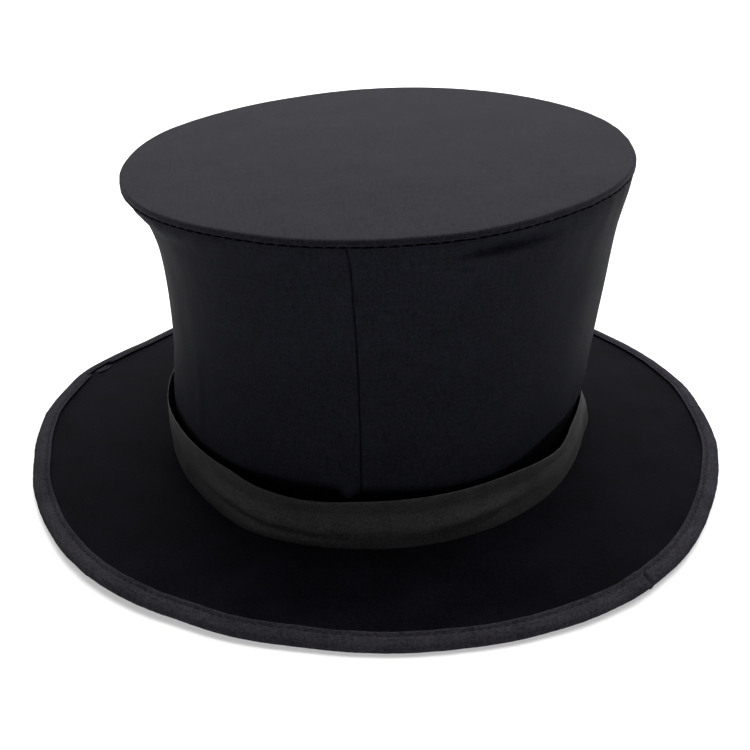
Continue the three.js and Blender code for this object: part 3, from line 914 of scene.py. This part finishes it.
def add_crown_wall():
    """The wall's cloth, on a mesh of its own. On the real hat this cloth is squashed in height when the
    hat folds.
    """
    rows = spread(WALL_LOW, WALL_TOP, 138)
    name = "crown_cloth_wall"
    piece = add_grid(name, rows, wall_turns(), wall_point, wall_cloth_place, crown_cloth)
    thicken(piece, WALL_THICK)
    place_piece(piece, "root", "crown_cloth", "crown_wall")
    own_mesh(piece)


def add_wall_collar():
    """The wall's top few millimetres stay on the tip's hoop, over the part that folds up. The tip
    stays tilted when it comes down, so the fold is deeper on one side than on the other."""
    low = WALL_HIGH - COLLAR_HEIGHT

    def place(z, turn):
        point = wall_point(z, turn)
        outwards = Vector((point.x, point.y, 0)).normalized()
        off = 0.05 - 0.2 * smooth(low + 1.5 * MM, low, z)
        return point + outwards * off * MM

    rows = spread(low, WALL_HIGH, 18)
    name = "crown_cloth_collar"
    piece = add_grid(name, rows, wall_turns(), place, wall_cloth_place, crown_cloth)
    thicken(piece, COLLAR_THICK)
    place_piece(piece, "tip", "crown_cloth")


# ------------------------------------------------------------------ hat band
BAND_THICK = 0.3 * MM
BAND_BASE = BRIM_TOP + 0.1 * MM
BAND_WIDTH = 21 * MM
# turn in degrees, then in millimetres: radius at the foot, radius at the head, height of the head
BAND_EDGES = (
    (-180, 89.6, 88.6, 26.0),
    (-172, 89.4, 89.2, 25.6),
    (-163, 89.2, 90.0, 25.2),
    (-150, 89.7, 90.3, 25.6),
    (-138, 90.8, 90.4, 24.7),
    (-127, 93.0, 90.8, 24.0),
    (-120, 94.4, 91.0, 22.2),
    (-107, 93.4, 91.0, 21.4),
    (-93, 92.2, 91.0, 23.2),
    (-75, 91.6, 91.0, 24.2),
    (-60, 91.2, 90.8, 24.4),
    (-53, 91.0, 90.8, 24.0),
    (-46, 90.9, 90.6, 22.8),
    (-40, 90.7, 90.5, 21.6),
    (-35, 90.6, 90.2, 21.4),
    (-26, 90.4, 89.3, 24.2),
    (-12, 91.6, 89.4, 24.6),
    (-2, 94.9, 90.2, 24.0),
    (12, 95.0, 90.4, 24.4),
    (32, 91.5, 89.8, 25.0),
    (90, 92.0, 90.6, 25.0),
    (150, 90.6, 89.4, 25.6),
    (180, 89.6, 88.6, 26.0),
)
BAND_FLARE = 1.4 * MM


def band_profile(share):
    """How far up the ribbon's lean it is: most of the lean is in the middle, where it has slumped."""
    return 0.3 * min(1, share / 0.34) + 0.7 * smooth(0.32, 0.7, share)


def band_folds(share, turn):
    """Soft creases along the ribbon, in millimetres."""
    slack = 0.55 * ring_noise(turn, 5.0, 9.4, share * 1.2) + 0.3 * ring_noise(turn, 12.0, 4.9, share * 2.5)
    left = turn_from(turn, -117 * DEG)
    valley = -0.6 * bell(left, 0.3) * bell(share - 0.25 + 0.2 * left, 0.07)
    lip = 0.3 * bell(left, 0.36) * bell(share - 0.1, 0.08)
    right = turn_from(turn, -66 * DEG)
    ridge = 0.4 * bell(right, 0.3) * bell(share - 0.4 - 0.5 * right, 0.09)
    hollow = -0.3 * bell(right - 0.2, 0.3) * bell(share - 0.2 - 0.4 * right, 0.1)
    return slack * (0.25 + 0.75 * math.sin(math.pi * share)) + valley + lip + ridge + hollow


def band_point(share, turn):
    """A point of the ribbon, from its foot on the brim to its head. In front it flares at the head."""
    row = value_along(BAND_EDGES, math.degrees(turn_from(turn, 0)))
    foot, head, top = (value * MM for value in row)
    front = bell(turn_from(turn, -84 * DEG), 0.7)
    flare = BAND_FLARE * front
    radius = foot + (head - flare - foot) * band_profile(share)
    radius += flare * smooth(0.68, 1, share)
    radius += (0.5 * front * bell(share - 0.36, 0.14) + band_folds(share, turn)) * MM
    x, y = oval(radius, turn)
    return Vector((x, y, BAND_BASE + share * (top - BAND_BASE)))


def add_hat_band():
    """The satin ribbon. It stands on the brim and leans on the wall where it is slack."""
    def cloth(share, turn):
        return turn * WALL_MEAN, share * BAND_WIDTH

    piece = add_grid("ribbon_band", spread(0, 1, 44), even_turns(480), band_point, cloth, ribbon_satin)
    thicken(piece, BAND_THICK)
    place_piece(piece, "root", "ribbon", "hat_band")


# ------------------------------------------------------------------ tip
TIP_SKIRT = 3.1 * MM
TIP_ROLL = 1.0 * MM
TIP_STITCH = 2.5 * MM
TIP_CLOTH_IN = 0.25 * MM
TIP_TURNS = 360


def tip_edge(turn):
    """The half width of the tip at a turn."""
    return TIP_RADIUS + stray(TIP_OUTLINE, turn) + 0.2 * MM * ring_noise(turn, 14.0, 1.9)


def tip_place(row, turn):
    """A point of the tip's cloth. Rows run from the skirt's lower edge up and in to the middle."""
    kind, value = row
    edge = tip_edge(turn)
    gather = 0.12 * MM * ring_noise(turn, 30.0, 6.6)
    if kind == "skirt":
        sewn = -0.45 * MM * bell((1 - value) * TIP_SKIRT + value * TIP_ROLL - TIP_STITCH, 0.35 * MM)
        radius = edge - TIP_CLOTH_IN + gather * (1 - value) + sewn
        height = -TIP_SKIRT * (1 - value) - TIP_ROLL * value + 0.15 * MM * ring_noise(turn, 16.0, 2.3)
    elif kind == "roll":
        radius = edge - TIP_CLOTH_IN - TIP_ROLL * (1 - math.cos(value))
        height = -TIP_ROLL * (1 - math.sin(value))
    else:
        radius = (edge - TIP_CLOTH_IN - TIP_ROLL) * value
        x, y = oval(radius, turn)
        height = 0.35 * MM * wander(x * 28, y * 28, 5.5) * smooth(1.0, 0.85, value)
    x, y = oval(radius, turn)
    return TIP_FRAME @ Vector((x, y, height))


def tip_cloth_place(row, turn):
    """Where a point of the tip's cloth lies when it is cut flat: the flat disc, then the roll over
    the edge, then the skirt."""
    kind, value = row
    flat = TIP_RADIUS - TIP_ROLL
    if kind == "flat":
        return oval(flat * value, turn)
    if kind == "roll":
        return oval(flat + TIP_ROLL * (math.pi / 2 - value), turn)
    return oval(flat + TIP_ROLL * math.pi / 2 + (TIP_SKIRT - TIP_ROLL) * (1 - value), turn)


def add_tip():
    """The cloth over the tip, drawn down over its edge, and the stitches that hold it."""
    rows = [("skirt", share) for share in spread(0, 1, 13)]
    rows += [("roll", angle) for angle in spread(0, 90 * DEG, 6)][1:]
    rows += [("flat", value) for value in spread(1, 0.01, 44)][1:]
    piece = add_grid("tip_cloth_cover", rows, even_turns(TIP_TURNS), tip_place, tip_cloth_place, tip_cloth)
    close_middle(piece, TIP_TURNS)
    thicken(piece, 0.5 * MM)
    place_piece(piece, "tip", "tip_cloth", "tip_cover")
    sewn = ("skirt", (TIP_SKIRT - TIP_STITCH) / (TIP_SKIRT - TIP_ROLL))

    def path(share):
        turn = share * TAU
        point = tip_place(sewn, turn)
        out = TIP_FRAME.to_3x3() @ Vector((math.cos(turn), math.sin(turn), 0))
        return point + out * (0.05 * MM), out

    stitches = add_stitches("tip_stitches", path, 156, 3.5 * MM, 0.36 * MM, black_thread_painted_shade)
    place_piece(stitches, "tip", "tip_cloth")


def close_middle(piece, count):
    """Fills the small hole that a ring of rows leaves in the middle."""
    mesh = piece.data
    vertices = [vertex.co.copy() for vertex in mesh.vertices]
    faces = [tuple(face.vertices) for face in mesh.polygons]
    flat = [tuple(corner.uv) for corner in mesh.uv_layers["cloth"].data]
    last = range(len(vertices) - count, len(vertices))
    faces.append(tuple(last))
    flat += [vertices[i].xy for i in last]
    fresh = add_object(piece.name, vertices, faces, mesh.materials[0], flat)
    piece.data = fresh.data
    bpy.data.objects.remove(fresh)


def add_tip_hoop():
    """The round wire hoop that the wall and the tip are stretched over."""
    wire = 1.1 * MM
    depth = 2.2 * MM
    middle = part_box("tip_hoop")[1][0] - 1.4 * MM

    def place(angle, turn):
        x, y = oval(middle + stray(TIP_OUTLINE, turn) + wire * math.cos(angle), turn)
        return TIP_FRAME @ Vector((x, y, wire * math.sin(angle) - depth))

    hoop = add_grid("tip_wire_hoop", even_turns(14), even_turns(300), place, swapped, spring_steel, True)
    place_piece(hoop, "tip", "spring_steel", "tip_hoop")


LINING_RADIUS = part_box("tip_lining")[1][0] + 0.3 * MM
LINING_DEPTH = 2.7 * MM


def add_tip_lining():
    """A satin disc, lightly gathered all round, that hides the tip's board."""
    def cloth(value, turn):
        return oval(LINING_RADIUS * value, turn)

    def place(value, turn):
        x, y = cloth(value, turn)
        gathers = 0.28 * ring_noise(turn, 22.0, 3.9) * smooth(0.45, 1.0, value)
        slack = 0.12 * wander(x * 60, y * 60, 1.7)
        return TIP_FRAME @ Vector((x, y, -LINING_DEPTH + (gathers + slack) * MM))

    rows = spread(1, 0.02, 60)
    piece = add_grid("tip_lining_satin", rows, even_turns(TIP_TURNS), place, cloth, lining_satin)
    close_middle(piece, TIP_TURNS)
    thicken(piece, 0.25 * MM)
    place_piece(piece, "tip", "lining", "tip_lining")


# ------------------------------------------------------------------ sweatband
SWEATBAND_SEWN = 0.87


def add_sweatband():
    """A leather strip inside the head opening: a turned upper edge, a sewn line and soft waves."""
    height = SWEATBAND_TOP - SWEATBAND_BASE

    def place(share, turn):
        waves = 0.3 * ring_noise(turn, 6.0, 8.8, share) + 0.12 * ring_noise(turn, 20.0, 2.5, share * 3)
        rolled = 0.35 * bell(1 - share, 0.08) + 0.3 * bell(share, 0.07)
        sewn = -0.25 * bell(share - SWEATBAND_SEWN, 0.03)
        inwards = 0.75 + waves * math.sin(math.pi * share) + rolled + sewn
        x, y = oval(SWEATBAND_RADIUS - inwards * MM, turn)
        return Vector((x, y, SWEATBAND_BASE + share * height))

    def cloth(share, turn):
        return turn * CROWN_RADIUS, share

    rows = spread(0, 1, 26)
    piece = add_grid("sweatband_strip", rows, even_turns(360), place, cloth, sweat_leather)
    thicken(piece, 0.8 * MM, 0)
    place_piece(piece, "root", "sweatband_leather", "sweatband")

    def path(share):
        turn = share * TAU
        return place(SWEATBAND_SEWN, turn), Vector((-math.cos(turn), -math.sin(turn), 0))

    stitches = add_stitches("sweatband_stitches", path, 190, 2.0 * MM, 0.17 * MM, black_thread_painted_shade, 0.0)
    place_piece(stitches, "root", "sweatband_leather")


# ------------------------------------------------------------------ the steel and the inside
CAD_MATERIALS = {
    "spring_steel": spring_steel,
    "black_steel": black_steel,
    "bright_steel": bright_steel,
    "buckram": buckram,
}


def finish_cad_nodes():
    """Gives every CAD node that stays shown the material of its slot."""
    for part in frame["record"]["subparts"]:
        material = CAD_MATERIALS.get(part["material_slot"])
        node = frame["nodes"][part["node"]]
        if material and not node.hide_render:
            for slot in node.material_slots:
                slot.material = material


def add_floor():
    """The ground, a hair below the brim."""
    bpy.ops.mesh.primitive_plane_add(size=8, location=(0, 0, -0.02 * MM))
    floor = bpy.context.object
    floor.name = "floor"
    floor.data.materials.append(floor_material())


add_camera()
add_studio()
add_floor()
add_brim()
add_brim_wire()
add_binding()
add_right_lap()
add_left_lap()
add_crown_wall()
add_wall_collar()
add_hat_band()
add_tip()
add_tip_hoop()
add_tip_lining()
add_sweatband()
finish_cad_nodes()
